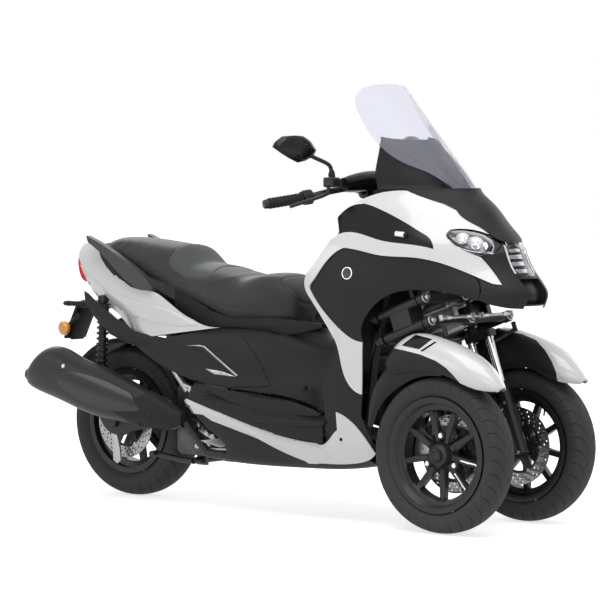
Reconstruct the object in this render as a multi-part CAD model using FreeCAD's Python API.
import FreeCAD, Part
import math
import os

V = FreeCAD.Vector
os.makedirs("parts", exist_ok=True)

# Leaning reverse trike, millimetres. +X forward, +Y to the rider's left, +Z up.
# The origin is on the ground under the middle of the vehicle.

# Driving dimensions
wheelbase = 1595.0
front_axle_x = 868.0
front_track = 470.0
front_tyre_radius = 262.0
front_tyre_width = 120.0
rear_tyre_radius = 276.0
rear_tyre_width = 140.0
rim_seat_radius = 178.0
rim_flange_radius = 193.0
disc_radius = 133.5
disc_thickness = 4.5
caster_deg = 20.0
trail = 68.0
kingpin_half = 140.0
tilt_pivot_half = 219.0
arm_gap = 80.0
lower_arm_up = 706.0
pin_radius = 11.0
pin_clearance = 0.05
open_pivot_clearance = 0.4
panel_wall = 4.0
soft_gap = 0.3
screen_wall = 4.0
steering_stem_x = 400.0
steering_stem_z = 1110.0

# Worked out from the driving dimensions
rear_axle_x = front_axle_x - wheelbase
front_wheel_y = front_track / 2.0
sin_c = math.sin(math.radians(caster_deg))
cos_c = math.cos(math.radians(caster_deg))
ground_trail_x = front_axle_x + trail
upper_arm_up = lower_arm_up + arm_gap

made = {}


def save(name, shape):
    """Keep one named piece and write it out."""
    made[name] = shape
    shape.exportStep("parts/" + name + ".step")


def rake(along, up, y=0.0):
    """Point in the raked frame of the front end: up the kingpin, along the tilt axis."""
    return V(ground_trail_x - up * sin_c + along * cos_c, y, up * cos_c + along * sin_c)


tilt_axis = V(cos_c, 0, sin_c)
kingpin_axis = V(-sin_c, 0, cos_c)
side_axis = V(0, 1, 0)


def cylinder(start, end, radius):
    axis = end.sub(start)
    return Part.makeCylinder(radius, axis.Length, start, axis)


def sleeve(start, end, outer, inner):
    return cylinder(start, end, outer).cut(cylinder(start, end, inner))


def box(x_low, x_high, y_low, y_high, z_low, z_high):
    return Part.makeBox(x_high - x_low, y_high - y_low, z_high - z_low, V(x_low, y_low, z_low))


def raked_box(s_low, s_high, y_low, y_high, up_low, up_high):
    """Box whose edges follow the raked frame of the front end."""
    base = Part.makeBox(s_high - s_low, y_high - y_low, up_high - up_low, V(s_low, y_low, up_low))
    base.rotate(V(0, 0, 0), side_axis, -caster_deg)
    base.translate(V(ground_trail_x, 0, 0))
    return base


def mirrored(shape):
    return shape.mirror(V(0, 0, 0), side_axis)


def fuse(shapes):
    whole = shapes[0]
    if len(shapes) > 1:
        whole = whole.fuse(shapes[1:])
    return whole.removeSplitter()


def group(shapes):
    """Solids of several shapes as one piece's compound."""
    solids = []
    for shape in shapes:
        solids.extend(shape.Solids)
    return Part.makeCompound(solids)


def both_sides(shape):
    return group([shape, mirrored(shape)])


def tube(points, radius, bend=40.0):
    """Round bar along straight runs joined by tangent arcs."""
    corners = [V(*p) for p in points]
    edges = []
    start = corners[0]
    for before, corner, after in zip(corners, corners[1:], corners[2:]):
        back = before.sub(corner)
        ahead = after.sub(corner)
        shortest = min(back.Length, ahead.Length)
        back.normalize()
        ahead.normalize()
        half = back.getAngle(ahead) / 2.0
        reach = min(bend / math.tan(half), shortest * 0.45)
        arc_radius = reach * math.tan(half)
        middle = back.add(ahead)
        middle.normalize()
        arc_start = corner + back * reach
        arc_end = corner + ahead * reach
        arc_middle = corner + middle * (arc_radius / math.sin(half) - arc_radius)
        edges.append(Part.LineSegment(start, arc_start).toShape())
        edges.append(Part.Arc(arc_start, arc_middle, arc_end).toShape())
        start = arc_end
    edges.append(Part.LineSegment(start, corners[-1]).toShape())
    ring = Part.Wire([Part.Circle(corners[0], corners[1] - corners[0], radius).toShape()])
    return Part.Wire(edges).makePipeShell([ring], True, False)


def smooth_edge(points):
    curve = Part.BSplineCurve()
    curve.interpolate(points)
    return curve.toShape()


def outline_xz(runs, y=0.0):
    """Closed outline in a side view: each run is a line (2 points) or a smooth curve."""
    edges = []
    for run in runs:
        points = [V(x, y, z) for x, z in run]
        if len(points) == 2:
            edges.append(Part.LineSegment(points[0], points[1]).toShape())
        else:
            edges.append(smooth_edge(points))
    return Part.Wire(edges)


def side_prism(runs, y_low=-600.0, y_high=600.0):
    wire = outline_xz(runs, y_low)
    return Part.Face(wire).extrude(V(0, y_high - y_low, 0))


def side_polygon(points, y_low=-600.0, y_high=600.0):
    closed = [V(x, y_low, z) for x, z in points]
    closed.append(closed[0])
    return Part.Face(Part.makePolygon(closed)).extrude(V(0, y_high - y_low, 0))


def offset_points(points, distance, normal_hint):
    """Points moved sideways from their own curve, in the curve's plane."""
    moved = []
    last = len(points) - 1
    for index, point in enumerate(points):
        tangent = points[min(index + 1, last)] - points[max(index - 1, 0)]
        sideways = tangent.cross(normal_hint)
        sideways.normalize()
        moved.append(point + sideways * distance)
    return moved


def band_wire(points, wall, normal_hint):
    """Closed wire round a thin band whose outer edge follows the points."""
    inner = offset_points(points, wall, normal_hint)
    return Part.Wire([
        smooth_edge(points),
        Part.LineSegment(points[-1], inner[-1]).toShape(),
        smooth_edge(inner[::-1]),
        Part.LineSegment(inner[0], points[0]).toShape(),
    ])


def plan_points(level, inset, power=2.2, count=7):
    """Plan curve of a rounded body end, from its right open edge round to its left one."""
    z, half_width, y_open, x_open, x_straight, x_tip = level
    direction = 1.0 if x_tip > x_straight else -1.0
    half_width = half_width - inset
    y_open = y_open - inset
    x_tip = x_tip - direction * inset
    right = [V(x_open, -y_open, z), V((x_open + x_straight) / 2.0, -(y_open + half_width) / 2.0, z)]
    for step in range(count):
        angle = math.radians(90.0 * step / count)
        reach = math.sin(angle) ** (2.0 / power)
        right.append(V(x_straight + (x_tip - x_straight) * reach, -half_width * math.cos(angle), z))
    left = [V(p.x, -p.y, p.z) for p in reversed(right)]
    return right + [V(x_tip, 0, z)] + left


def body_shell(levels, wall, inset=0.0):
    """Thin shell lofted through plan curves, one for each level."""
    wires = []
    for level in levels:
        direction = 1.0 if level[5] > level[4] else -1.0
        wires.append(band_wire(plan_points(level, inset), -wall * direction, V(0, 0, 1)))
    return Part.makeLoft(wires, True, False)


def filled_body(levels, inset=0.0):
    """Solid that fills the same plan curves, closed across the open edge."""
    wires = []
    for level in levels:
        points = plan_points(level, inset)
        wires.append(Part.Wire([smooth_edge(points), Part.LineSegment(points[-1], points[0]).toShape()]))
    return Part.makeLoft(wires, True, False)


def largest(shape):
    """The largest solid of a shape."""
    return max(shape.Solids, key=lambda solid: solid.Volume)


def rounded_ring(x, z_low, z_high, half_width, y_middle=0.0, power=0.6, points=12):
    """Closed smooth ring across the vehicle, between a flat oval and a rounded box."""
    z_middle = (z_low + z_high) / 2.0
    half_height = (z_high - z_low) / 2.0
    ring = []
    for step in range(points):
        angle = 2.0 * math.pi * (step + 0.5) / points
        across = math.cos(angle)
        upward = math.sin(angle)
        ring.append(V(x, y_middle + half_width * math.copysign(abs(across) ** power, across),
                      z_middle + half_height * math.copysign(abs(upward) ** power, upward)))
    curve = Part.BSplineCurve()
    curve.interpolate(ring, True)
    return Part.Wire([curve.toShape()])


# Wheels: each turns about its own axle

def wheel_parts(centre, tyre_radius, tyre_width, disc_side, spoke_angles, spoke_width):
    """Cast rim, tyre and brake disc; disc_side says on which side of the rim the disc lies."""
    bead_half = tyre_width * 0.36
    flange_half = bead_half + 7.0
    rim_well = rim_seat_radius - 22.0
    rim_wall = 6.0

    def ring(profile):
        closed = [V(0, y, r) for y, r in profile]
        closed.append(closed[0])
        shape = Part.Face(Part.makePolygon(closed)).revolve(V(0, 0, 0), side_axis, 360)
        shape.translate(centre)
        return shape

    barrel = ring([
        (-flange_half, rim_flange_radius), (-bead_half, rim_flange_radius), (-bead_half, rim_seat_radius),
        (-bead_half * 0.62, rim_seat_radius), (-bead_half * 0.45, rim_well), (bead_half * 0.45, rim_well),
        (bead_half * 0.62, rim_seat_radius), (bead_half, rim_seat_radius), (bead_half, rim_flange_radius),
        (flange_half, rim_flange_radius), (flange_half, rim_seat_radius - rim_wall),
        (bead_half * 0.66, rim_seat_radius - rim_wall), (bead_half * 0.5, rim_well - rim_wall),
        (-bead_half * 0.5, rim_well - rim_wall), (-bead_half * 0.66, rim_seat_radius - rim_wall),
        (-flange_half, rim_seat_radius - rim_wall)])
    hub_half = tyre_width * 0.34
    hub = ring([(-hub_half, 14.0), (hub_half, 14.0), (hub_half, 34.0), (hub_half * 0.5, 44.0),
                (-hub_half * 0.5, 44.0), (-hub_half, 34.0)])
    spokes = []
    for angle in spoke_angles:
        root = Part.makePolygon([V(-spoke_width / 2.0, -13, 38), V(spoke_width / 2.0, -13, 38),
                                 V(spoke_width / 2.0, 13, 38), V(-spoke_width / 2.0, 13, 38),
                                 V(-spoke_width / 2.0, -13, 38)])
        tip = Part.makePolygon([V(-spoke_width * 0.42, -10, rim_well - 2.0), V(spoke_width * 0.42, -10, rim_well - 2.0),
                                V(spoke_width * 0.42, 10, rim_well - 2.0), V(-spoke_width * 0.42, 10, rim_well - 2.0),
                                V(-spoke_width * 0.42, -10, rim_well - 2.0)])
        spoke = Part.makeLoft([root, tip], True, True)
        spoke.rotate(V(0, 0, 0), side_axis, angle)
        spoke.translate(centre)
        spokes.append(spoke)
    disc_offset = tyre_width / 2.0 - 3.0
    carrier_y = disc_side * disc_offset
    rim = fuse([barrel, hub] + spokes)

    half = tyre_width / 2.0
    sidewall = tyre_radius - rim_flange_radius
    section = [
        V(0, -bead_half, rim_seat_radius),
        V(0, -bead_half, rim_flange_radius + 1.0),
        V(0, -half * 0.93, rim_flange_radius + sidewall * 0.25),
        V(0, -half, rim_flange_radius + sidewall * 0.48),
        V(0, -half * 0.8, tyre_radius - sidewall * 0.2),
        V(0, -half * 0.42, tyre_radius - sidewall * 0.045),
        V(0, 0, tyre_radius),
    ]
    outer = section[1:] + [V(0, -p.y, p.z) for p in reversed(section[1:-1])]
    inner = [V(0, bead_half * 0.62, rim_seat_radius), V(0, half * 0.72, rim_flange_radius + sidewall * 0.45),
             V(0, 0, tyre_radius - 16.0),
             V(0, -half * 0.72, rim_flange_radius + sidewall * 0.45), V(0, -bead_half * 0.62, rim_seat_radius)]
    wire = Part.Wire([
        Part.LineSegment(section[0], section[1]).toShape(),
        smooth_edge(outer),
        Part.LineSegment(outer[-1], V(0, bead_half, rim_seat_radius)).toShape(),
        Part.LineSegment(V(0, bead_half, rim_seat_radius), inner[0]).toShape(),
        smooth_edge(inner),
        Part.LineSegment(inner[-1], section[0]).toShape(),
    ])
    tyre = Part.Face(wire).revolve(V(0, 0, 0), side_axis, 360)
    tyre.translate(centre)

    disc_centre = centre + V(0, carrier_y, 0)
    disc_half = V(0, disc_thickness / 2.0, 0)
    disc = sleeve(disc_centre - disc_half, disc_centre + disc_half, disc_radius, disc_radius * 0.66)
    arms = []
    for index in range(6):
        arm = Part.makeBox(16.0, disc_thickness, disc_radius * 0.7 - 30.0,
                           V(-8.0, -disc_thickness / 2.0, 30.0))
        arm.rotate(V(0, 0, 0), side_axis, index * 60.0)
        arm.translate(disc_centre)
        arms.append(arm)
    hub_face = centre + V(0, disc_side * hub_half, 0)
    outer_face = disc_centre + V(0, disc_side * disc_thickness / 2.0, 0)
    boss = sleeve(hub_face, outer_face, 33.0, 14.0)
    disc = fuse([disc, boss] + arms)
    return rim, tyre, disc


front_spokes = []
for root in (90.0, 210.0, 330.0):
    front_spokes.extend([root - 19.0, root + 19.0, root + 60.0])
front_centres = {"right": V(front_axle_x, -front_wheel_y, front_tyre_radius),
                 "left": V(front_axle_x, front_wheel_y, front_tyre_radius)}
for side, centre in front_centres.items():
    inboard = 1.0 if side == "right" else -1.0
    rim, tyre, disc = wheel_parts(centre, front_tyre_radius, front_tyre_width, inboard,
                                  [-a for a in front_spokes], 22.0)
    cap_start = centre - V(0, inboard * front_tyre_width * 0.34, 0)
    cap = cylinder(cap_start, cap_start - V(0, inboard * 36.0, 0), 22.0)
    save("front_rim_" + side, fuse([rim, cap]))
    save("front_tyre_" + side, tyre)
    save("front_disc_" + side, disc)

rear_centre = V(rear_axle_x, 0, rear_tyre_radius)
rear_spokes = [-a for a in front_spokes]
rim, tyre, disc = wheel_parts(rear_centre, rear_tyre_radius, rear_tyre_width, -1.0, rear_spokes, 24.0)
save("rear_rim", rim)
save("rear_tyre", tyre)
save("rear_disc", disc)

# Forks: two legs on the inner side of each front wheel, carried by a stem in the steering head

fork_leg_half = 39.0
leg_radius = 22.0
stanchion_radius = 15.0
head_half_height = 30.0
head_low_up = 700.0
head_high_up = 800.0
stem_radius = 14.0
axle_along = (front_axle_x - ground_trail_x) * cos_c + front_tyre_radius * sin_c
axle_up = -(front_axle_x - ground_trail_x) * sin_c + front_tyre_radius * cos_c
bridge_up = 662.0
bridge_half = 12.0
hub_bore_radius = 14.0
axle_radius = hub_bore_radius - pin_clearance
link_along = 139.0
steering_ball_y = 195.0
steering_arm_up = 625.0
ball_up = 650.0


def brake_caliper(disc_centre, angle_from, angle_to):
    """Caliper over the edge of a brake disc, between two angles round the axle."""
    half = 18.0
    middle = math.radians((angle_from + angle_to) / 2.0)
    spread = math.radians((angle_to - angle_from) / 2.0)
    ring = sleeve(disc_centre - side_axis * half, disc_centre + side_axis * half,
                  disc_radius + 28.0, disc_radius - 40.0)
    reach = 400.0
    edges = [(0.0, 0.0)]
    for angle in (middle - spread, middle + spread):
        edges.append((math.cos(angle) * reach, math.sin(angle) * reach))
    wedge = side_polygon([(disc_centre.x + x, disc_centre.z + z) for x, z in edges],
                         disc_centre.y - half, disc_centre.y + half)
    slot_half = disc_thickness / 2.0 + 5.0
    slot = cylinder(disc_centre - side_axis * slot_half, disc_centre + side_axis * slot_half, disc_radius + 5.0)
    return ring.common(wedge).cut(slot)


def fork(side_sign):
    """Fork of one side: legs, bridge, stem, axle and the brake caliper on the inner side."""
    y = side_sign * kingpin_half
    legs = []
    for offset in (-fork_leg_half, fork_leg_half):
        low = rake(axle_along + offset, axle_up - 34.0, y)
        joint = rake(axle_along + offset, axle_up + 200.0, y)
        top = rake(axle_along + offset, bridge_up + bridge_half, y)
        legs.append(cylinder(low, joint, leg_radius))
        legs.append(cylinder(joint, top, stanchion_radius))
    foot = raked_box(axle_along - fork_leg_half, axle_along + fork_leg_half, y - 14.0, y + 14.0,
                     axle_up - 30.0, axle_up + 32.0)
    bridge = raked_box(-26.0, axle_along + fork_leg_half + 19.0, y - 22.0, y + 22.0,
                       bridge_up - bridge_half, bridge_up + bridge_half)
    bridge = bridge.makeFillet(8.0, [e for e in bridge.Edges if abs(e.Length - 2 * bridge_half) < 0.01])
    stem = cylinder(rake(0, bridge_up, y), rake(0, head_high_up + 8.0, y), stem_radius)
    nut = cylinder(rake(0, head_high_up + 5.0, y), rake(0, head_high_up + 16.0, y), 20.0)
    hub_inner_y = side_sign * (front_wheel_y + front_tyre_width * 0.34 - 1.0)
    axle = cylinder(V(front_axle_x, y, front_tyre_radius),
                    V(front_axle_x, hub_inner_y, front_tyre_radius), axle_radius)
    ball_y = side_sign * steering_ball_y
    lug_start = rake(axle_along + fork_leg_half, steering_arm_up, y)
    steering_arm = cylinder(lug_start, rake(link_along, ball_up, ball_y), 7.0)
    ball = cylinder(rake(link_along, ball_up - 8.0, ball_y), rake(link_along, ball_up + 26.0, ball_y), 8.0)
    caliper_y = side_sign * (front_wheel_y - (front_tyre_width / 2.0 - 3.0))
    caliper = brake_caliper(V(front_axle_x, caliper_y, front_tyre_radius), 150.0, 192.0)
    y_a = y
    y_b = caliper_y - side_sign * 15.0
    carrier = Part.makeBox(95.0, abs(y_b - y_a), 36.0,
                           V(front_axle_x - 132.0, min(y_a, y_b), front_tyre_radius - 2.0))
    return fuse(legs + [foot, bridge, stem, nut, axle, steering_arm, ball, caliper, carrier])


save("fork_right", fork(-1.0))
save("fork_left", fork(1.0))

# Front mudguards: arched shells round each tyre, white above and dark below


def arch_shell(stations, wall):
    """Shell lofted round the axle. Each station: angle, crown radius, edge radius, half width."""
    wires = []
    for angle_deg, crown, edge, half in stations:
        angle = math.radians(angle_deg)
        outward = V(math.cos(angle), 0, math.sin(angle))

        def at(y, radius):
            return V(0, y, 0) + outward * radius

        shoulder = edge + (crown - edge) * 0.62
        outer = [at(-half, edge), at(-half * 0.97, shoulder), at(-half * 0.62, crown - (crown - edge) * 0.11),
                 at(0, crown), at(half * 0.62, crown - (crown - edge) * 0.11), at(half * 0.97, shoulder),
                 at(half, edge)]
        inner = [at(half - wall, edge), at((half - wall) * 0.96, shoulder - wall * 0.6),
                 at(half * 0.58, crown - (crown - edge) * 0.11 - wall), at(0, crown - wall),
                 at(-half * 0.58, crown - (crown - edge) * 0.11 - wall),
                 at(-(half - wall) * 0.96, shoulder - wall * 0.6), at(-(half - wall), edge)]
        wires.append(Part.Wire([
            smooth_edge(outer), Part.LineSegment(outer[-1], inner[0]).toShape(),
            smooth_edge(inner), Part.LineSegment(inner[-1], outer[0]).toShape()]))
    return Part.makeLoft(wires, True, False)


fender_stations = [
    (124.0, 388.0, 316.0, 59.5), (118.0, 403.0, 300.0, 61.0), (106.0, 413.0, 286.0, 62.0),
    (92.0, 386.0, 276.0, 63.0), (76.0, 366.0, 270.0, 63.0), (60.0, 353.0, 272.0, 58.0),
    (50.0, 344.0, 290.0, 42.0), (43.5, 338.0, 318.0, 16.0),
]
guard_stations = [
    (163.0, 303.0, 270.0, 60.0), (150.0, 330.0, 268.0, 62.0), (138.0, 352.0, 267.0, 62.0),
    (126.0, 366.0, 266.0, 52.4), (112.0, 376.0, 265.0, 52.3), (98.0, 366.0, 264.0, 53.3),
    (84.0, 346.0, 264.0, 53.5),
]
fender = arch_shell(fender_stations, 3.5)
fender.translate(front_centres["right"])
guard = arch_shell(guard_stations, 3.5)
guard.translate(front_centres["right"])
stay_y = -kingpin_half - leg_radius - 7.0
slider_top = rake(axle_along - fork_leg_half, axle_up + 186.0, stay_y)
stay_up = V(740.0, stay_y, 508.0)
stay = fuse([
    side_polygon([(stay_up.x - 13.0, stay_up.z - 4.0), (stay_up.x + 13.0, stay_up.z + 6.0),
                  (slider_top.x + 13.0, slider_top.z + 6.0), (slider_top.x - 13.0, slider_top.z - 4.0)],
                 stay_y, stay_y + 5.0),
    cylinder(stay_up - side_axis * 15.5, stay_up + side_axis * 5.0, 9.0),
    cylinder(slider_top, slider_top + side_axis * 24.0, 10.0)])
guard = fuse([guard, stay]).cut(made["fork_right"])
for side, white, dark in (("right", fender, guard), ("left", mirrored(fender), mirrored(guard))):
    save("fender_" + side, white)
    save("inner_guard_" + side, dark)

# Tilting linkage: two cross arms turn on the steering bracket and carry the side posts

beam_along = 103.0
beam_half_along = 11.0
beam_half_up = 13.0
boss_half = 85.0
boss_radius = 20.0


def cross_arm(up, pin_fit):
    """Front and rear beams joined by three pivot pins that lie along the tilt axis."""
    pieces = []
    for sign in (-1.0, 1.0):
        middle = sign * beam_along
        bar = raked_box(middle - beam_half_along, middle + beam_half_along,
                        -tilt_pivot_half, tilt_pivot_half, up - beam_half_up, up + beam_half_up)
        pieces.append(bar)
        for y in (-tilt_pivot_half, 0.0, tilt_pivot_half):
            pieces.append(cylinder(rake(middle - beam_half_along, up, y),
                                   rake(middle + beam_half_along, up, y), boss_radius))
            pieces.append(cylinder(rake(middle + sign * beam_half_along, up, y),
                                   rake(middle + sign * (beam_half_along + 9.0), up, y), 12.0))
    for y in (-tilt_pivot_half, 0.0, tilt_pivot_half):
        radius = pin_radius - (pin_fit if abs(y) > 1.0 else 0.0)
        pieces.append(cylinder(rake(-beam_along, up, y), rake(beam_along, up, y), radius))
    return fuse(pieces)


save("upper_arm", cross_arm(upper_arm_up, 0.0))
save("lower_arm", cross_arm(lower_arm_up, open_pivot_clearance))


def side_post(side_sign):
    """Post between the arm ends, with the steering head of the fork on its inner side."""
    pieces = []
    for up in (lower_arm_up, upper_arm_up):
        pieces.append(cylinder(rake(-boss_half, up, side_sign * tilt_pivot_half),
                               rake(boss_half, up, side_sign * tilt_pivot_half), boss_radius - 3.0))
    pieces.append(raked_box(-40.0, 40.0, side_sign * tilt_pivot_half - 11.0, side_sign * tilt_pivot_half + 11.0,
                            lower_arm_up, upper_arm_up))
    inner_y = side_sign * kingpin_half
    outer_y = side_sign * (tilt_pivot_half - 6.0)
    pieces.append(raked_box(-20.0, 20.0, min(inner_y, outer_y), max(inner_y, outer_y),
                            head_low_up + 20.0, head_high_up - 20.0))
    pieces.append(cylinder(rake(0, head_low_up, inner_y), rake(0, head_high_up, inner_y), 25.0))
    post = fuse(pieces)
    for up in (lower_arm_up, upper_arm_up):
        post = post.cut(cylinder(rake(-boss_half - 5.0, up, side_sign * tilt_pivot_half),
                                 rake(boss_half + 5.0, up, side_sign * tilt_pivot_half),
                                 pin_radius + pin_clearance))
    return post.cut(cylinder(rake(0, head_low_up - 5.0, inner_y), rake(0, head_high_up + 5.0, inner_y),
                             stem_radius + pin_clearance))


save("post_right", side_post(-1.0))
save("post_left", side_post(1.0))

# Tie rods: a cross link in front of the lower arm, above the steering arms of the forks
link_pieces = [cylinder(rake(link_along, lower_arm_up, -steering_ball_y),
                        rake(link_along, lower_arm_up, steering_ball_y), 6.0)]
for y in (-steering_ball_y, -24.0, 24.0, steering_ball_y):
    link_pieces.append(cylinder(rake(link_along, lower_arm_up - 9.0, y), rake(link_along, lower_arm_up + 9.0, y), 10.0))
save("steering_link", fuse(link_pieces))

# Steering bracket: alloy casting under the nose that holds the two centre pivots

def truss_plate(y):
    """Cross-braced side plate of the steering bracket."""
    depth = 10.0
    low, high = 768.0, 900.0
    back, front = -66.0, 66.0
    bars = []
    corners = [(back, low), (front, low), (front, high), (back, high)]
    runs = [(corners[0], corners[1]), (corners[1], corners[2]), (corners[2], corners[3]),
            (corners[3], corners[0]), (corners[0], corners[2]), (corners[1], corners[3])]
    for (s_a, up_a), (s_b, up_b) in runs:
        bars.append(cylinder(rake(s_a, up_a, y), rake(s_b, up_b, y), depth / 2.0 + 2.0))
    for s, up in corners:
        ball = Part.makeSphere(9.0, rake(s, up, y))
        bars.append(ball)
    return fuse(bars)


bracket_pieces = [raked_box(-60.0, 60.0, -13.0, 13.0, lower_arm_up, 885.0)]
for up in (lower_arm_up, upper_arm_up):
    bracket_pieces.append(cylinder(rake(-boss_half, up), rake(boss_half, up), boss_radius + 2.0))
bracket_pieces.append(raked_box(-64.0, 64.0, -52.0, 52.0, 862.0, 902.0))
bracket = fuse(bracket_pieces)
for up in (lower_arm_up, upper_arm_up):
    bracket = bracket.cut(cylinder(rake(-boss_half - 5.0, up), rake(boss_half + 5.0, up),
                                   pin_radius + pin_clearance))
plate_y = 46.0
bracket = fuse([bracket, truss_plate(plate_y), truss_plate(-plate_y)])

# Main frame: twin tubes from the steering head under the floor to the seat rails
frame_radius = 14.0
stem_at = V(steering_stem_x, 0, steering_stem_z)
stem_low = stem_at - kingpin_axis * 290.0
head_low = stem_at - kingpin_axis * 250.0
head_high = stem_at - kingpin_axis * 110.0
head_tube_radius = 27.0
side_rail = [
    (500.0, 40.0, 880.0), (508.0, 94.0, 770.0), (500.0, 100.0, 684.0), (480.0, 118.0, 556.0), (474.0, 150.0, 300.0),
    (440.0, 166.0, 232.0), (60.0, 168.0, 222.0), (-90.0, 165.0, 222.0), (-108.0, 160.0, 430.0),
    (-260.0, 152.0, 530.0), (-430.0, 146.0, 606.0), (-640.0, 112.0, 700.0), (-772.0, 100.0, 756.0), (-860.0, 86.0, 800.0)]
brace_back = rake(-60.0, 922.4, 44.0)
brace_front = rake(60.0, 922.4, 44.0)
brace_line = [(498.0, 44.0, 878.0), (brace_back.x, 44.0, brace_back.z), (brace_front.x, 44.0, brace_front.z)]
cross_tubes = ((481.0, 118.0, 560.0), (330.0, 168.0, 232.0), (-40.0, 165.0, 222.0), (-640.0, 112.0, 700.0),
               (-860.0, 86.0, 800.0))


def frame_bars(extra):
    """Every tube of the main frame, thicker by a clearance when space is cut for it."""
    rail = tube(side_rail, frame_radius + extra, 30.0)
    brace = tube(brace_line, 13.0 + extra, 25.0)
    bars = [rail, mirrored(rail), brace, mirrored(brace)]
    for x, y, z in cross_tubes:
        bars.append(cylinder(V(x, -y, z), V(x, y, z), 11.0 + extra))
    bars.append(cylinder(V(500.0, -44.0, 878.0), V(500.0, 44.0, 878.0), 14.0 + extra))
    return bars


head_tube = cylinder(head_low, head_high, head_tube_radius)
shock_stub = fuse([cylinder(V(-772.0, 90.0, 724.0), V(-772.0, 126.7, 724.0), 10.0),
                   box(-786.0, -758.0, 88.0, 108.0, 720.0, 752.0)])
main_frame = fuse(frame_bars(0.0) + [head_tube, shock_stub, mirrored(shock_stub)])
main_frame = main_frame.cut(cylinder(stem_low - kingpin_axis * 20.0, head_high + kingpin_axis * 20.0,
                                     stem_radius + pin_clearance))
main_frame = main_frame.cut(raked_box(-66.0, 66.0, -60.0, 60.0, 700.0, 902.0))
save("main_frame", main_frame)


def clear_of_frame(shape):
    """A lug or boss trimmed to rest on the frame's tubes."""
    for bar in frame_bars(soft_gap):
        shape = shape.cut(bar)
    return largest(shape)


bracket_pad = raked_box(-58.0, 58.0, 38.0, 52.0, 895.0, 922.0)
bracket_pad = clear_of_frame(bracket_pad)
save("tilt_bracket", fuse([bracket, bracket_pad, mirrored(bracket_pad)]))

# Engine: one block low between the frame tubes, with the cylinder lying forward
crankcase = box(-425.0, -180.0, -118.0, 88.0, 178.0, 430.0)
crankcase = crankcase.makeFillet(24.0, [e for e in crankcase.Edges if abs(e.Length - 206.0) < 0.01])
cylinder_block = box(-180.0, 60.0, -84.0, 84.0, 250.0, 402.0)
fins = [box(-130.0 + 22.0 * i, -120.0 + 22.0 * i, -94.0, 91.0, 240.0, 412.0) for i in range(6)]
side_cover_case = cylinder(V(-300.0, -118.0, 300.0), V(-300.0, -136.0, 300.0), 92.0)
stand_pivot = V(-340.0, 0, 158.0)
stand_bar_radius = 12.0
stand_lugs = [box(-362.0, -318.0, y, y + 14.0, 140.0, 200.0) for y in (-84.0, 66.0)]
mount_lug = clear_of_frame(box(-58.0, -22.0, -20.0, 20.0, 226.0, 262.0))
engine = fuse([crankcase, cylinder_block, side_cover_case, mount_lug] + fins + stand_lugs)
engine = engine.cut(cylinder(stand_pivot - side_axis * 100.0, stand_pivot + side_axis * 100.0,
                             stand_bar_radius + pin_clearance))
save("engine_block", engine)

# Drive case on the left, from the crankcase back to the rear axle
case_low = Part.makeLoft([
    Part.Wire([Part.Circle(V(-240.0, y, 300.0), side_axis, r).toShape()]) for y, r in ((92.0, 96.0), (168.0, 88.0))],
    True, False)
case_rear = Part.makeLoft([
    Part.Wire([Part.Circle(V(rear_axle_x, y, rear_tyre_radius), side_axis, r).toShape()])
    for y, r in ((92.0, 86.0), (150.0, 76.0))], True, False)
case_web = side_polygon([(-240.0, 206.0), (rear_axle_x, 194.0), (rear_axle_x, 358.0), (-240.0, 394.0)], 92.0, 146.0)
case_lug = box(-812.0, -760.0, 104.0, 128.0, 320.0, 361.5)
save("drive_case", fuse([case_low, case_rear, case_web, case_lug]))

# Right swing arm, with the rear axle and the rear caliper
arm_outline = side_prism([
    [(-425.3, 330.0), (-560.0, 330.0), (-690.0, 322.0), (-800.0, 352.0)],
    [(-800.0, 352.0), (-812.0, 330.0)],
    [(-812.0, 330.0), (-770.0, 250.0), (-700.0, 228.0)],
    [(-700.0, 228.0), (-560.0, 262.0), (-425.3, 262.0)],
    [(-425.3, 262.0), (-425.3, 330.0)],
], -128.0, -98.0)
axle_rod = cylinder(V(rear_axle_x, -128.0, rear_tyre_radius), V(rear_axle_x, 91.7, rear_tyre_radius), axle_radius)
axle_nut = cylinder(V(rear_axle_x, -128.0, rear_tyre_radius), V(rear_axle_x, -142.0, rear_tyre_radius), 18.0)
rear_disc_y = -(rear_tyre_width / 2.0 - 3.0)
rear_caliper = brake_caliper(V(rear_axle_x, rear_disc_y, rear_tyre_radius), 8.0, 50.0)
caliper_link = Part.makeBox(40.0, 20.0, 40.0, V(rear_axle_x + 92.0, -100.0, rear_tyre_radius + 18.0))
swingarm = fuse([arm_outline, axle_rod, axle_nut, rear_caliper, caliper_link])
save("swingarm", swingarm)

# Silencer on the right, with its front pipe


def oval_ring(x, y, z_low, z_high, half_width):
    return rounded_ring(x, z_low, z_high, half_width, y, 0.72, 12)


silencer_y = -218.0
silencer = Part.makeLoft([
    oval_ring(-1052.0, silencer_y + 4.0, 402.0, 474.0, 40.0),
    oval_ring(-1020.0, silencer_y + 2.0, 388.0, 508.0, 50.0),
    oval_ring(-940.0, silencer_y, 366.0, 548.0, 56.0),
    oval_ring(-842.0, silencer_y, 338.0, 526.0, 56.0),
    oval_ring(-720.0, silencer_y, 306.0, 490.0, 54.0),
    oval_ring(-600.0, silencer_y, 292.0, 452.0, 50.0),
    oval_ring(-480.0, silencer_y + 4.0, 282.0, 408.0, 42.0),
    oval_ring(-400.0, silencer_y + 12.0, 274.0, 370.0, 36.0),
    oval_ring(-322.0, silencer_y + 22.0, 284.0, 336.0, 24.0),
], True, False)
header = tube([(-322.0, -192.0, 308.0), (-308.0, -162.0, 262.0), (-250.0, -151.0, 194.0), (-150.0, -140.0, 188.0),
               (-40.0, -90.0, 188.0), (22.0, -50.0, 196.0), (22.0, -50.0, 249.7)], 16.0, 20.0)
outlet = sleeve(V(-1052.0, silencer_y + 4.0, 438.0), V(-1078.0, silencer_y + 4.0, 442.0), 20.0, 16.0)
save("silencer", fuse([silencer, header, outlet]))

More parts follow.
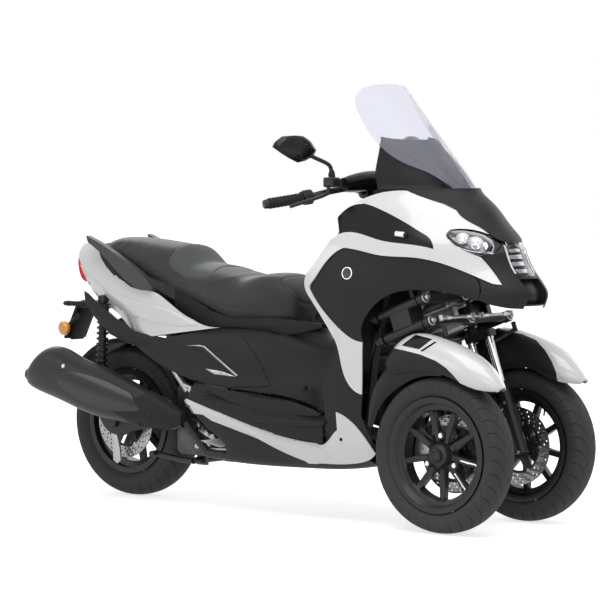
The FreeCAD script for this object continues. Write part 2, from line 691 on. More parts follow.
# Heat shield over the silencer's outer side
shield_outline = side_prism([
    [(-902.0, 470.0), (-700.0, 452.0), (-520.0, 398.0)],
    [(-520.0, 398.0), (-478.0, 340.0)],
    [(-478.0, 340.0), (-700.0, 346.0), (-850.0, 402.0)],
    [(-850.0, 402.0), (-902.0, 470.0)],
], -300.0, -214.0)
shield_skin = Part.makeLoft([
    oval_ring(-940.0, silencer_y, 362.0, 552.0, 61.0), oval_ring(-842.0, silencer_y, 334.0, 530.0, 61.0),
    oval_ring(-720.0, silencer_y, 302.0, 494.0, 59.0), oval_ring(-600.0, silencer_y, 288.0, 456.0, 55.0),
    oval_ring(-480.0, silencer_y + 4.0, 278.0, 412.0, 47.0),
    oval_ring(-440.0, silencer_y + 8.0, 276.0, 396.0, 44.0)], True, False)
silencer_core = Part.makeLoft([
    oval_ring(-940.0, silencer_y, 366.0, 548.0, 57.0), oval_ring(-842.0, silencer_y, 338.0, 526.0, 57.0),
    oval_ring(-720.0, silencer_y, 306.0, 490.0, 55.0), oval_ring(-600.0, silencer_y, 292.0, 452.0, 51.0),
    oval_ring(-480.0, silencer_y + 4.0, 282.0, 408.0, 43.0),
    oval_ring(-440.0, silencer_y + 8.0, 278.0, 392.0, 40.0)], True, False)
save("silencer_shield", shield_skin.common(shield_outline).cut(silencer_core))

# Rear dampers with their springs
shock_y = 136.0
shock_top = V(-772.0, shock_y, 724.0)
shock_low = V(-790.0, shock_y, 362.0)


def shock():
    axis = shock_low - shock_top
    axis.normalize()
    pieces = [cylinder(shock_top, shock_low, 9.0),
              cylinder(shock_top + axis * 18.0, shock_top + axis * 70.0, 21.0),
              cylinder(shock_low - axis * 110.0, shock_low - axis * 8.0, 20.0)]
    coils = 9
    for index in range(coils):
        place = shock_top + axis * (84.0 + index * 20.0)
        pieces.append(Part.makeTorus(18.0, 4.5, place, axis))
    pieces.append(cylinder(shock_top + axis * 60.0, shock_top + axis * 270.0, 14.5))
    pieces.append(cylinder(shock_top - side_axis * 7.7, shock_top + side_axis * 14.0, 16.0))
    pieces.append(cylinder(shock_low - side_axis * 7.7, shock_low + side_axis * 14.0, 15.0))
    return fuse(pieces)


save("rear_shocks", both_sides(shock()))

# Rear mudguard over the tyre, with the number plate carrier behind
hugger_outer = Part.makeCylinder(306.0, 172.0, V(rear_axle_x, -86.0, rear_tyre_radius), side_axis)
hugger_inner = Part.makeCylinder(301.5, 164.0, V(rear_axle_x, -82.0, rear_tyre_radius), side_axis)
hugger_ring = hugger_outer.cut(hugger_inner).cut(
    Part.makeCylinder(288.0, 200.0, V(rear_axle_x, -100.0, rear_tyre_radius), side_axis))
hugger_sector = side_polygon([
    (rear_axle_x, rear_tyre_radius), (rear_axle_x - 420.0, rear_tyre_radius + 120.0),
    (rear_axle_x - 380.0, 760.0), (rear_axle_x + 260.0, 760.0), (rear_axle_x + 400.0, rear_tyre_radius + 190.0)],
    -100.0, 100.0)
hugger_lug = box(-480.0, -452.0, 82.5, 104.0, 360.0, 402.0).cut(made["drive_case"])
save("rear_mudguard", largest(fuse([hugger_ring.common(hugger_sector), largest(hugger_lug)])))

plate_x = 1130.0
carrier_hanger = clear_of_frame(box(-872.0, -848.0, -30.0, 30.0, 682.0, 800.0))
carrier_plan = side_polygon([
    (-868.0, 712.0), (-960.0, 694.0), (-1060.0, 702.0), (-plate_x, 686.0), (-plate_x, 470.0), (8.0 - plate_x, 470.0),
    (-1102.0, 650.0), (-1050.0, 668.0), (-950.0, 664.0), (-868.0, 682.0)], -78.0, 78.0)
for y in (-50.0, 50.0):
    carrier_plan = carrier_plan.cut(Part.makeCylinder(3.25, 60.0, V(-1150.0, y, 600.0), V(1, 0, 0)))

carrier_plan = fuse([carrier_plan, carrier_hanger])

indicator = cylinder(V(-962.0, 150.0, 614.0), V(-944.0, 150.0, 614.0), 26.0)
stalk = cylinder(V(-953.0, 78.3, 660.0), V(-953.0, 140.0, 622.0), 8.0)
stalk_foot = cylinder(V(-953.0, 72.0, 664.5), V(-953.0, 90.0, 652.6), 8.0)
carrier_side = box(-1200.0, 0.0, -78.0 - soft_gap, 78.0 + soft_gap, 0.0, 1000.0)
save("rear_indicators", both_sides(fuse([indicator, stalk, stalk_foot]).cut(carrier_side)))

# Tail bodywork: plan curves from the bottom of the tail up to the seat
tail_levels = [
    (585.0, 176.0, 172.0, -100.0, -330.0, -690.0),
    (640.0, 174.0, 170.0, -100.0, -340.0, -770.0),
    (700.0, 170.0, 168.0, -100.0, -380.0, -860.0),
    (760.0, 164.0, 164.0, -100.0, -480.0, -960.0),
    (820.0, 156.0, 160.0, -100.0, -560.0, -1004.0),
    (870.0, 148.0, 156.0, -100.0, -620.0, -1008.0),
    (915.0, 138.0, 150.0, -100.0, -640.0, -985.0),
    (935.0, 130.0, 146.0, -100.0, -640.0, -960.0),
]
tail_shell = body_shell(tail_levels, panel_wall)
tail_shell_inner = body_shell(tail_levels, panel_wall, 6.0)
tail_rear_open = box(-1100.0, 0.0, -52.0, 52.0, 500.0, 1000.0)
tail_panel_cut = side_prism([
    [(-166.0, 645.0), (-235.0, 646.0), (-305.0, 668.0)],
    [(-305.0, 668.0), (-429.0, 728.0), (-503.0, 761.0), (-577.0, 768.0), (-650.0, 793.0)],
    [(-650.0, 793.0), (-754.0, 866.0), (-800.0, 905.0), (-850.0, 926.0), (-905.0, 926.0)],
    [(-905.0, 926.0), (-960.0, 905.0), (-960.0, 880.0)],
    [(-960.0, 880.0), (-925.0, 850.0), (-879.0, 776.0), (-845.0, 733.0)],
    [(-845.0, 733.0), (-728.0, 663.0), (-608.0, 602.0)],
    [(-608.0, 602.0), (-507.0, 600.0)],
    [(-507.0, 600.0), (-305.0, 627.0), (-166.0, 645.0)],
])
shock_hole = cylinder(V(-772.0, -200.0, 724.0), V(-772.0, 200.0, 724.0), 22.0)
tail_boss = clear_of_frame(cylinder(V(-640.0, -146.5, 700.0), V(-640.0, -124.0, 700.0), 9.0))
tail_right = largest(tail_shell.common(tail_panel_cut).cut(tail_rear_open).cut(shock_hole).common(
    box(-1200.0, 0.0, -400.0, 0.0, 500.0, 1000.0)))
save("tail_panels", both_sides(fuse([tail_right, tail_boss])))
tail_lamp_cut = side_polygon([(-930.0, 905.0), (-1020.0, 905.0), (-1020.0, 760.0), (-978.0, 760.0), (-960.0, 860.0)],
                             -59.0, 59.0)
save("tail_lamp", body_shell(tail_levels, panel_wall, panel_wall + soft_gap).common(tail_lamp_cut))
trim_cut = side_prism([
    [(-863.0, 745.0), (-728.0, 660.0), (-608.0, 599.0)],
    [(-608.0, 599.0), (-560.0, 586.0)],
    [(-560.0, 586.0), (-690.0, 586.0)],
    [(-690.0, 586.0), (-780.0, 640.0), (-870.0, 706.0)],
    [(-870.0, 706.0), (-863.0, 745.0)],
])
tail_trims = tail_shell_inner.common(trim_cut).cut(tail_rear_open).cut(shock_hole)
save("rear_trims", group([tail_trims, carrier_plan]))

# Grab rails beside the rear seat
rail_outline = side_prism([
    [(-820.0, 958.0), (-744.0, 928.0), (-602.0, 856.0), (-550.0, 826.0), (-493.0, 774.0)],
    [(-493.0, 774.0), (-500.0, 762.8)],
    [(-500.0, 762.8), (-556.0, 767.2)],
    [(-556.0, 767.2), (-596.0, 783.0), (-629.0, 802.0)],
    [(-629.0, 802.0), (-700.0, 858.0), (-745.0, 893.0), (-812.0, 934.0)],
    [(-812.0, 934.0), (-820.0, 958.0)],
], -178.0, -153.0)
save("grab_rails", both_sides(rail_outline))


# Centre bodywork under the seat and over the tunnel


def arch_band(x, z_low, half_low, z_top, half_top, crown, wall=4.0):
    """Cross section of the centre bodywork: two sides and a crowned top."""
    outer = [V(x, -half_low, z_low), V(x, -(half_low * 0.55 + half_top * 0.45), (z_low + z_top) / 2.0),
             V(x, -half_top, z_top - 14.0), V(x, -half_top * 0.86, z_top), V(x, 0, z_top + crown)]
    outer = outer + [V(p.x, -p.y, p.z) for p in reversed(outer[:-1])]
    return band_wire(outer, -wall, V(-1, 0, 0))


centre_sections = [
    (-610.0, 580.0, 163.0, 636.0, 152.0, 4.0),
    (-478.0, 510.0, 176.0, 636.0, 160.0, 4.0),
    (-400.0, 484.0, 188.0, 640.0, 163.0, 4.0),
    (-240.0, 449.0, 203.0, 642.0, 164.0, 4.0),
    (-96.0, 433.0, 207.0, 644.0, 164.0, 4.0),
    (102.0, 424.0, 207.0, 627.0, 158.0, 6.0),
    (200.0, 412.0, 206.0, 606.0, 140.0, 16.0),
    (290.0, 390.0, 206.0, 600.0, 124.0, 22.0),
    (368.0, 350.0, 210.0, 628.0, 128.0, 20.0),
]
centre_shell = Part.makeLoft([arch_band(*s) for s in centre_sections], True, False)
seat_opening = box(-520.0, 84.0, -150.0, 150.0, 560.0, 760.0)
tail_line = side_polygon([
    (-700.0, 584.0), (-560.0, 584.0), (-520.0, 586.0), (-462.0, 591.0), (-305.0, 621.0), (-166.0, 640.0),
    (-166.0, 760.0), (-700.0, 760.0)])
cover_boss = clear_of_frame(cylinder(V(-260.0, -187.0, 530.0), V(-260.0, -162.0, 530.0), 9.0))
centre_cover = largest(centre_shell.cut(seat_opening).cut(tail_line))
save("side_covers", fuse([centre_cover, cover_boss, mirrored(cover_boss)]))

# Inner leg shield that faces the rider: z, half width, x at the outer edge, x in the middle
leg_levels = [
    (262.0, 234.0, 384.0, 428.0), (340.0, 248.0, 384.0, 436.0), (430.0, 258.0, 384.0, 444.0),
    (520.0, 266.0, 412.0, 456.0), (600.0, 272.0, 454.0, 476.0), (680.0, 276.0, 414.0, 470.0),
    (770.0, 280.0, 346.0, 452.0), (860.0, 276.0, 340.0, 436.0), (930.0, 263.0, 398.0, 440.0),
    (1000.0, 241.0, 428.0, 452.0), (1070.0, 206.0, 466.0, 482.0), (1120.0, 172.0, 526.0, 536.0),
]
leg_wires = []
for z, half, x_edge, x_middle in leg_levels:
    points = []
    for step in range(-8, 9):
        share = step / 8.0
        points.append(V(x_middle - (x_middle - x_edge) * abs(share) ** 3.2, half * share, z))
    leg_wires.append(band_wire(points, panel_wall, V(0, 0, 1)))
leg_shell = Part.makeLoft(leg_wires, True, False)
stem_hole = cylinder(stem_at + kingpin_axis * 20.0, stem_low - kingpin_axis * 40.0, head_tube_radius + 8.0)
tunnel_mouth = box(300.0, 520.0, -136.0, 136.0, 250.0, 645.0)
shield_boss = clear_of_frame(cylinder(V(425.8, -146.0, 320.0), V(464.0, -146.0, 320.0), 9.0))
leg_shield = largest(leg_shell.cut(stem_hole).cut(tunnel_mouth))
save("leg_shield", fuse([leg_shield, shield_boss, mirrored(shield_boss)]))

# Front bodywork: plan curves from the belly up to the screen.
# Each level is z, half width, half width at the open edge, open edge x, straight to x, tip x.
front_levels = [
    (180.0, 226.0, 222.0, 290.0, 440.0, 1020.0),
    (260.0, 248.0, 246.0, 290.0, 435.0, 1030.0),
    (340.0, 264.0, 260.0, 290.0, 430.0, 1040.0),
    (450.0, 275.0, 270.0, 290.0, 430.0, 1045.0),
    (560.0, 283.0, 278.0, 290.0, 420.0, 1055.0),
    (670.0, 288.0, 285.0, 290.0, 410.0, 1062.0),
    (740.0, 291.0, 289.0, 290.0, 400.0, 1076.0),
    (790.0, 293.0, 291.0, 290.0, 400.0, 1092.0),
    (840.0, 292.0, 290.0, 290.0, 400.0, 1056.0),
    (890.0, 287.0, 284.0, 290.0, 395.0, 1018.0),
    (940.0, 277.0, 272.0, 290.0, 390.0, 998.0),
    (990.0, 260.0, 254.0, 290.0, 390.0, 960.0),
    (1040.0, 238.0, 232.0, 290.0, 380.0, 914.0),
    (1090.0, 210.0, 204.0, 290.0, 380.0, 868.0),
    (1140.0, 180.0, 176.0, 290.0, 380.0, 820.0),
]
front_shell = body_shell(front_levels, panel_wall)
front_shell_inner = body_shell(front_levels, panel_wall, 5.0)
front_shell_deep = body_shell(front_levels, panel_wall, 32.0)


def off_centre(half, x_low=700.0, z_low=100.0):
    """Everything but a slot down the middle of the nose."""
    return box(-1300.0, 1300.0, -700.0, 700.0, 100.0, 1300.0).cut(
        box(x_low, 1300.0, -half, half, z_low, 1300.0))


# White fairing: band, leg blade and the panel above the lamps in one piece on each side
white_cut = side_prism([
    [(469.0, 1090.0), (547.0, 1123.0), (613.0, 1132.0), (645.0, 1132.0)],
    [(645.0, 1132.0), (730.0, 1103.0), (802.0, 1078.0), (825.0, 1067.0)],
    [(825.0, 1067.0), (849.0, 1044.0), (891.0, 1018.0), (934.0, 989.0)],
    [(934.0, 989.0), (907.0, 1000.0), (861.0, 1007.0), (834.0, 1004.0)],
    [(834.0, 1004.0), (827.0, 992.0), (844.0, 969.0)],
    [(844.0, 969.0), (883.0, 940.0), (910.0, 927.0), (940.0, 913.0)],
    [(940.0, 913.0), (1016.0, 824.0)],
    [(1016.0, 824.0), (995.0, 827.0)],
    [(995.0, 827.0), (927.0, 858.0), (822.0, 897.0), (744.0, 911.0), (619.0, 917.0), (542.0, 931.0),
     (474.0, 940.0)],
    [(474.0, 940.0), (446.0, 928.0), (379.0, 861.0), (341.0, 815.0)],
    [(341.0, 815.0), (336.0, 802.0), (341.0, 790.0)],
    [(341.0, 790.0), (379.0, 741.0), (459.0, 668.0), (512.0, 635.0), (557.0, 624.0)],
    [(557.0, 624.0), (547.0, 447.0)],
    [(547.0, 447.0), (495.0, 478.0), (475.0, 514.0), (459.0, 583.0), (442.0, 629.0)],
    [(442.0, 629.0), (382.0, 710.0), (334.0, 771.0)],
    [(334.0, 771.0), (314.0, 808.0), (319.0, 849.0)],
    [(319.0, 849.0), (361.0, 897.0), (408.0, 965.0)],
    [(408.0, 965.0), (438.0, 984.0)],
    [(438.0, 984.0), (472.0, 992.0), (540.0, 984.0), (613.0, 966.0), (740.0, 952.0), (803.0, 939.0)],
    [(803.0, 939.0), (793.0, 962.0), (758.0, 989.0)],
    [(758.0, 989.0), (675.0, 1030.0), (577.0, 1069.0), (510.0, 1087.0), (469.0, 1090.0)],
])
save("upper_fairings", front_shell.common(white_cut).common(off_centre(70.0)))

# Dark lower fairing on each side, over the wheel arch
arch_edge = [(557.0, 622.0), (556.0, 690.0), (587.0, 734.0), (661.0, 786.0), (733.0, 803.0), (816.0, 804.0),
             (890.0, 792.0), (954.0, 772.0)]
lower_cut = side_prism([
    arch_edge,
    [(954.0, 772.0), (962.0, 802.0), (926.0, 856.0)],
    [(926.0, 856.0), (822.0, 895.0), (744.0, 909.0), (619.0, 915.0), (542.0, 929.0), (474.0, 938.0)],
    [(474.0, 938.0), (446.0, 926.0), (380.0, 860.0), (342.0, 814.0)],
    [(342.0, 814.0), (338.0, 802.0), (342.0, 791.0)],
    [(342.0, 791.0), (380.0, 742.0), (460.0, 669.0), (513.0, 636.0), (557.0, 622.0)],
])
lower_sides = front_shell_inner.common(lower_cut)

# Black pods between band and top panel
pod_cut = side_prism([
    [(412.0, 1040.0), (451.0, 1078.0), (506.0, 1086.0)],
    [(506.0, 1086.0), (577.0, 1068.0), (675.0, 1029.0), (757.0, 988.0)],
    [(757.0, 988.0), (791.0, 962.0), (801.0, 940.0)],
    [(801.0, 940.0), (740.0, 953.0), (613.0, 967.0), (540.0, 985.0), (472.0, 993.0), (439.0, 985.0)],
    [(439.0, 985.0), (412.0, 1040.0)],
])
save("side_pods", front_shell_inner.common(pod_cut))

# Lamps either side of the nose and the stacked lamp at its tip
headlamp_cut = side_prism([
    [(835.0, 1003.0), (861.0, 1006.0), (907.0, 999.0), (936.0, 987.0)],
    [(936.0, 987.0), (959.0, 971.0), (975.0, 958.0)],
    [(975.0, 958.0), (967.0, 928.0)],
    [(967.0, 928.0), (937.0, 918.0)],
    [(937.0, 918.0), (910.0, 929.0), (883.0, 941.0), (845.0, 970.0)],
    [(845.0, 970.0), (829.0, 992.0), (835.0, 1003.0)],
])
lamp_pair = front_shell_inner.common(headlamp_cut).common(off_centre(62.0))
nose_lamp = front_shell_inner.common(side_polygon(
    [(930.0, 848.0), (1110.0, 848.0), (1110.0, 960.0), (930.0, 960.0)], -56.7, 56.7))
save("headlamps", group([lamp_pair, nose_lamp]))

# Dark centre panel of the nose, with the beak and its recess below the lamp
hood_cut = side_prism([
    [(640.0, 1134.0), (730.0, 1105.0), (802.0, 1080.0), (826.0, 1069.0)],
    [(826.0, 1069.0), (850.0, 1046.0), (892.0, 1020.0), (936.0, 989.0), (960.0, 973.0), (980.0, 961.0)],
    [(980.0, 961.0), (1100.0, 961.0)],
    [(1100.0, 961.0), (1100.0, 1150.0)],
    [(1100.0, 1150.0), (640.0, 1150.0)],
    [(640.0, 1150.0), (640.0, 1134.0)],
])
hood = front_shell.common(hood_cut)
beak_cut = side_polygon([
    (960.0, 773.0), (994.0, 757.0), (1032.0, 746.0), (1068.0, 742.0), (1120.0, 742.0), (1120.0, 926.0),
    (969.0, 926.0), (942.0, 915.0), (1019.0, 822.0), (996.0, 826.0), (962.0, 841.0), (932.0, 858.0),
    (958.0, 832.0), (968.0, 803.0)])
beak = front_shell_inner.common(beak_cut).common(off_centre(57.0, 700.0, 100.0))
recess = front_shell_deep.common(side_polygon(
    [(900.0, 752.0), (1120.0, 752.0), (1120.0, 846.0), (900.0, 846.0)], -56.0, 56.0))
mouth_block = body_shell(front_levels, 30.0, 5.5).common(box(900.0, 1120.0, -57.5, 57.5, 752.0, 846.0))
mouth_rim = mouth_block.cut(box(900.0, 1120.0, -53.0, 53.0, 756.5, 841.5))
save("nose_panel", group([fuse([hood, beak, recess, mouth_rim])]))

# White belly panels and the dark tray under the floor


def floor_band(z, half_rear, half_middle, half_front, half_tip, wall):
    points = [V(-290.0, -half_rear, z), V(0.0, -half_middle, z), V(300.0, -half_front, z), V(606.0, -half_tip, z)]
    return band_wire(points, -wall, V(0, 0, 1))


belly_shell = Part.makeLoft([
    floor_band(180.0, 196.0, 214.0, 224.0, 214.0, 4.0), floor_band(240.0, 216.0, 238.0, 246.0, 238.0, 4.0),
    floor_band(320.0, 236.0, 256.0, 262.0, 256.0, 4.0), floor_band(400.0, 248.0, 264.0, 270.0, 266.0, 4.0)],
    True, False)
belly_cut = side_prism([
    [(-268.0, 392.0), (63.0, 309.0)],
    [(63.0, 309.0), (129.0, 294.0), (334.0, 269.0)],
    [(334.0, 269.0), (368.0, 268.0), (390.0, 283.0), (432.0, 320.0)],
    [(432.0, 320.0), (432.0, 382.5)],
    [(432.0, 382.5), (489.0, 356.0), (555.0, 289.0), (582.0, 248.0)],
    [(582.0, 248.0), (556.0, 227.0), (490.0, 208.0), (402.0, 200.0), (300.0, 197.0)],
    [(300.0, 197.0), (129.0, 246.0), (13.0, 290.0), (-229.0, 340.0)],
    [(-229.0, 340.0), (-268.0, 392.0)],
])
save("belly_panels", both_sides(belly_shell.common(belly_cut)))

leg_side_cut = side_prism([
    [(442.0, 627.0), (460.0, 582.0), (476.0, 513.0), (496.0, 477.0), (546.0, 445.0)],
    [(546.0, 445.0), (536.0, 372.0)],
    [(536.0, 372.0), (584.0, 254.0)],
    [(584.0, 254.0), (556.0, 291.0), (490.0, 358.0), (430.0, 386.0)],
    [(430.0, 386.0), (430.0, 321.0)],
    [(430.0, 321.0), (391.0, 281.0), (369.0, 267.0)],
    [(369.0, 267.0), (376.0, 330.0), (378.0, 420.0), (375.0, 496.0)],
    [(375.0, 496.0), (430.0, 560.0), (442.0, 627.0)],
])
save("lower_fairings", group([lower_sides, front_shell_inner.common(leg_side_cut)]))

tray_wall = 4.0
tray_rows = (
    (-240.0, 160.0, 183.0, 194.0, 199.0, 366.0, 240.0), (-110.0, 150.0, 187.0, 184.0, 202.5, 326.0, 243.0),
    (130.0, 150.0, 196.0, 184.0, 214.0, 256.0, 239.0), (320.0, 158.0, 203.0, 190.0, 221.5, 206.0, 226.8),
    (470.0, 176.0, 202.0, 206.0, 222.5, 216.0, 226.0), (540.0, 190.0, 196.0, 213.0, 222.0, 224.0, 226.0))
tray_sections = []
for x, z_floor, half_floor, z_bend, half_bend, z_edge, half_edge in tray_rows:
    side = [V(x, -half_edge, z_edge), V(x, -half_bend, z_bend), V(x, -half_floor, z_floor), V(x, 0, z_floor - 4.0)]
    side = side + [V(p.x, -p.y, p.z) for p in reversed(side[:-1])]
    tray_sections.append(band_wire(side, tray_wall, V(-1, 0, 0)))
save("under_tray", Part.makeLoft(tray_sections, True, False))

# Footboards: ribbed step on each side
board_sections = []
for x, y_in, z_in, y_out, z_out, z_low in ((-262.0, 206.0, 446.0, 246.0, 402.0, 392.5),
                                           (-96.0, 211.0, 428.0, 258.0, 392.0, 351.0),
                                           (63.0, 211.0, 416.0, 264.0, 386.0, 312.0),
                                           (200.0, 211.0, 402.0, 266.0, 378.0, 286.0),
                                           (368.0, 213.0, 352.0, 262.0, 340.0, 270.0)):
    inner_wall = 7.0
    ring = [V(x, y_in, z_in), V(x, y_out - 6.0, z_out + 6.0), V(x, y_out, z_out - 6.0), V(x, y_out + 1.0, z_low),
            V(x, y_out - 6.0, z_low), V(x, y_out - 7.0, z_out - 10.0), V(x, y_out - 12.0, z_out - 2.0),
            V(x, y_in, z_in - 8.0), V(x, y_in, z_in)]
    board_sections.append(Part.makePolygon(ring))
save("footboards", both_sides(Part.makeLoft(board_sections, True, True)))

# Cowl round the instruments, with the screen in front of it
cowl_levels = [
    (1128.0, 154.0, 150.0, 524.0, 540.0, 762.0),
    (1139.0, 158.5, 154.5, 521.0, 540.0, 762.0),
    (1150.0, 152.5, 149.5, 516.0, 540.0, 749.0),
    (1160.0, 152.0, 149.0, 512.0, 540.0, 744.0),
    (1200.0, 151.0, 149.0, 508.0, 530.0, 708.0),
    (1240.0, 144.0, 142.0, 514.0, 525.0, 668.0),
    (1290.0, 134.0, 133.0, 518.0, 524.0, 608.0),
]
dash_foot_z = 1166.0
dash_shelf = filled_body(cowl_levels, 2.0).common(
    box(530.0, 650.0, -170.0, 170.0, dash_foot_z - 6.0, dash_foot_z - soft_gap))
cowl = fuse([body_shell(cowl_levels, panel_wall), dash_shelf])

dash_box = Part.makeBox(34.0, 216.0, 96.0, V(0, -108.0, 0))
dash_box = dash_box.makeFillet(14.0, [e for e in dash_box.Edges if abs(e.Length - 34.0) < 0.01])
dash_box.rotate(V(0, 0, 0), side_axis, -28.0)
dash_box.translate(V(568.0, 0, dash_foot_z))
save("instrument_panel", dash_box)

screen_levels = ((1084.0, 838.0, 118.0), (1150.0, 784.0, 118.0), (1222.0, 722.0, 116.0), (1300.0, 650.0, 114.0),
                 (1360.0, 594.0, 108.0), (1420.0, 536.0, 96.0), (1470.0, 488.0, 84.0), (1502.0, 456.0, 78.0))
screen_half = 176.0
screen_wires = []
mount_wires = []
for z, x_middle, depth in screen_levels:
    points = [V(x_middle - depth * (y / 165.0) ** 2, y, z)
              for y in (-screen_half, -132.0, -88.0, -44.0, 0.0, 44.0, 88.0, 132.0, screen_half)]
    screen_wires.append(band_wire(points, -screen_wall, V(0, 0, 1)))
    behind = offset_points(points, -(screen_wall + soft_gap), V(0, 0, 1))
    mount_wires.append(band_wire(behind, -24.0, V(0, 0, 1)))
screen_sheet = Part.makeLoft(screen_wires, True, False)
screen_right = [(0.0, 1087.0), (-24.0, 1096.0), (-60.0, 1136.0), (-112.0, 1200.0), (-140.0, 1222.0),
                (-162.0, 1262.0), (-170.0, 1320.0), (-168.0, 1385.0), (-158.0, 1440.0), (-122.0, 1480.0),
                (-60.0, 1493.0), (0.0, 1495.0)]
screen_points = [V(200.0, y, z) for y, z in screen_right] + [V(200.0, -y, z) for y, z in screen_right[-2:0:-1]]
screen_curve = Part.BSplineCurve()
screen_curve.interpolate(screen_points, True)
screen_cut = Part.Face(Part.Wire([screen_curve.toShape()])).extrude(V(900.0, 0, 0))
save("windscreen", screen_sheet.common(screen_cut))

# Long mounts that carry the screen on the cowl
mount_outline = Part.makePolygon([V(400.0, -26.0, 1108.0), V(400.0, -44.0, 1104.0), V(400.0, -114.0, 1254.0),
                                  V(400.0, -99.0, 1262.0), V(400.0, -26.0, 1108.0)])
mount_block = Part.makeLoft(mount_wires, True, False)
screen_mount = largest(mount_block.common(Part.Face(mount_outline).extrude(V(600.0, 0, 0))))
save("cockpit_cowl", fuse([cowl, screen_mount, mirrored(screen_mount)]))

# Radiator behind the front wheels and the control box beside it
radiator = box(478.0, 506.0, -92.0, 92.0, 290.0, 445.0)
ribs = [box(506.0, 509.0, -88.0, 88.0, 300.0 + 16.0 * i, 304.0 + 16.0 * i) for i in range(9)]
radiator_arms = []
for z, reach in ((405.0, 132.0), (312.0, 140.0)):
    arm = clear_of_frame(box(478.0, 490.0, -reach, -88.0, z - 7.0, z + 7.0))
    radiator_arms.extend([arm, mirrored(arm)])
save("radiator", fuse([radiator] + ribs + radiator_arms))

control_box = box(500.0, 545.0, -78.0, -14.0, 640.0, 712.0)
control_box = control_box.makeFillet(6.0, control_box.Edges)
control_tab = clear_of_frame(box(502.0, 508.0, -92.0, -74.0, 666.0, 692.0))
save("control_box", fuse([control_box, control_tab]))

# Seat: stepped double seat that opens about its front edge
seat_sections = [
    (128.0, 652.0, 742.0, 84.0), (96.0, 646.0, 800.0, 122.0), (20.0, 652.0, 829.0, 150.0),
    (-70.0, 658.0, 830.0, 163.0), (-160.0, 664.0, 826.0, 168.0), (-245.0, 690.0, 872.0, 166.0),
    (-330.0, 722.0, 908.0, 158.0), (-450.0, 768.0, 926.0, 150.0), (-600.0, 816.0, 942.0, 143.0),
    (-720.0, 861.0, 950.0, 128.0), (-800.0, 884.0, 944.0, 104.0), (-842.0, 900.0, 926.0, 70.0)]
seat_pad = Part.makeLoft([rounded_ring(x, z_low, z_high, half, 0.0, 0.55) for x, z_low, z_high, half in seat_sections],
                         True, False)
save("seat_pad", seat_pad)

# Storage tub under the seat, its rim following the seat's underside
seat_underside = [(x, z_low + 40.0) for x, z_low, z_high, half in seat_sections if -500.0 < x < 100.0]
rim_space = side_polygon([(-430.0, 446.0), (66.0, 446.0), (66.0, 690.0)] + seat_underside[1:-1] + [(-430.0, 800.0)])
tub = box(-430.0, 66.0, -128.0, 128.0, 446.0, 820.0).cut(box(-426.0, 62.0, -124.0, 124.0, 450.0, 840.0))
seat_space = seat_pad.copy()
seat_space.translate(V(0, 0, -soft_gap))
save("storage_box", largest(tub.common(rim_space).cut(seat_space)))

# Handlebar with its steering stem
bar_points = [(372.0, 40.0, 1124.0), (372.0, 120.0, 1140.0), (352.0, 200.0, 1128.0), (312.0, 268.0, 1109.0),
              (238.0, 392.0, 1087.0)]
bar_side = tube(bar_points, 11.0, 40.0)
bar_clamp = cylinder(V(372.0, -46.0, 1124.0), V(372.0, 46.0, 1124.0), 22.0)
stem = cylinder(stem_low, stem_at + kingpin_axis * 4.0, stem_radius)
save("handlebar", fuse([bar_side, mirrored(bar_side), bar_clamp, stem,
                        cylinder(stem_at - kingpin_axis * 20.0, stem_at + kingpin_axis * 20.0, 24.0)]))

grip_start = V(312.0, 268.0, 1109.0)
grip_end = V(238.0, 392.0, 1087.0)
grip_axis = grip_end - grip_start
grip_axis.normalize()
grip = sleeve(grip_start + grip_axis * 22.0, grip_end + grip_axis * 2.0, 17.0, 11.05)
save("grips", both_sides(grip))

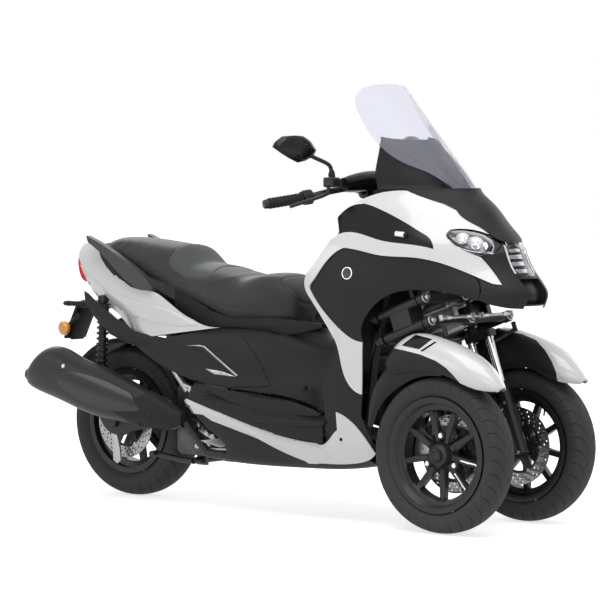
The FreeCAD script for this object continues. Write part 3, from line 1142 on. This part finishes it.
lever_root = V(360.0, 232.0, 1116.0)
switch_start = grip_start + grip_axis * 8.0
switch_end = grip_start + grip_axis * 21.0
switchgear = sleeve(switch_start, switch_end, 24.0, 11.05)
perch = tube([(372.0, 236.0, 1122.0), (366.0, 262.0, 1112.0), (318.0, 372.0, 1078.0)], 6.5, 20.0)
reservoir = box(352.0, 396.0, 196.0, 242.0, 1142.0, 1176.0)
reservoir = reservoir.makeFillet(7.0, reservoir.Edges)
switch_middle = (switch_start + switch_end) / 2.0
perch_joint = V(347.5, 304.5, 1098.9)
toward_perch = perch_joint - switch_middle
lever_arm = cylinder(switch_middle + toward_perch * 0.4, perch_joint, 6.5)
reservoir_neck = cylinder(V(372.0, 236.0, 1122.0), V(372.0, 232.0, 1150.0), 7.0)
save("hand_controls", both_sides(fuse([switchgear, perch, reservoir, lever_arm, reservoir_neck])))

mirror_ring = Part.makeLoft([
    rounded_ring(0.0, -40.0, 40.0, 76.0, 0.0, 0.75), rounded_ring(10.0, -44.0, 44.0, 84.0, 0.0, 0.75),
    rounded_ring(30.0, -30.0, 30.0, 62.0, 0.0, 0.75)], True, False)
mirror_ring.rotate(V(0, 0, 0), V(0, 0, 1), 14.0)
mirror_ring.translate(V(284.0, 322.0, 1278.0))
mirror_stem = tube([(374.0, 219.0, 1176.3), (374.0, 219.0, 1200.0), (366.0, 226.0, 1216.0), (330.0, 262.0, 1240.0), (306.0, 300.0, 1262.0)],
                   8.0, 20.0)
save("mirrors", both_sides(fuse([mirror_ring, mirror_stem])))

cover = Part.makeLoft([
    Part.Wire([Part.Circle(V(384.0, y, z), side_axis, r).toShape()])
    for y, z, r in ((-170.0, 1150.0, 24.0), (-90.0, 1158.0, 34.0), (0.0, 1162.0, 36.0), (90.0, 1158.0, 34.0),
                    (170.0, 1150.0, 24.0))], True, False)
cover = cover.cut(cylinder(V(372.0, -60.0, 1124.0), V(372.0, 60.0, 1124.0), 22.0 + soft_gap))
cover = cover.cut(cylinder(stem_at - kingpin_axis * 30.0, stem_at + kingpin_axis * 30.0, 24.0 + soft_gap))
bar_space = tube(bar_points, 11.0 + soft_gap, 40.0)
for shape in (bar_space, mirrored(bar_space)):
    cover = cover.cut(shape)
save("bar_cover", cover)

# Centre stand, folded up
centre_leg = tube([(-340.0, 130.0, 158.0), (-380.0, 132.0, 158.0), (-500.0, 150.0, 176.0)], 10.0, 20.0)
centre_bar = cylinder(stand_pivot - side_axis * 130.0, stand_pivot + side_axis * 130.0, stand_bar_radius)
centre_foot = cylinder(V(-500.0, 140.0, 176.0), V(-500.0, 176.0, 176.0), 12.0)
save("centre_stand", fuse([centre_leg, mirrored(centre_leg), centre_bar, centre_foot, mirrored(centre_foot)]))
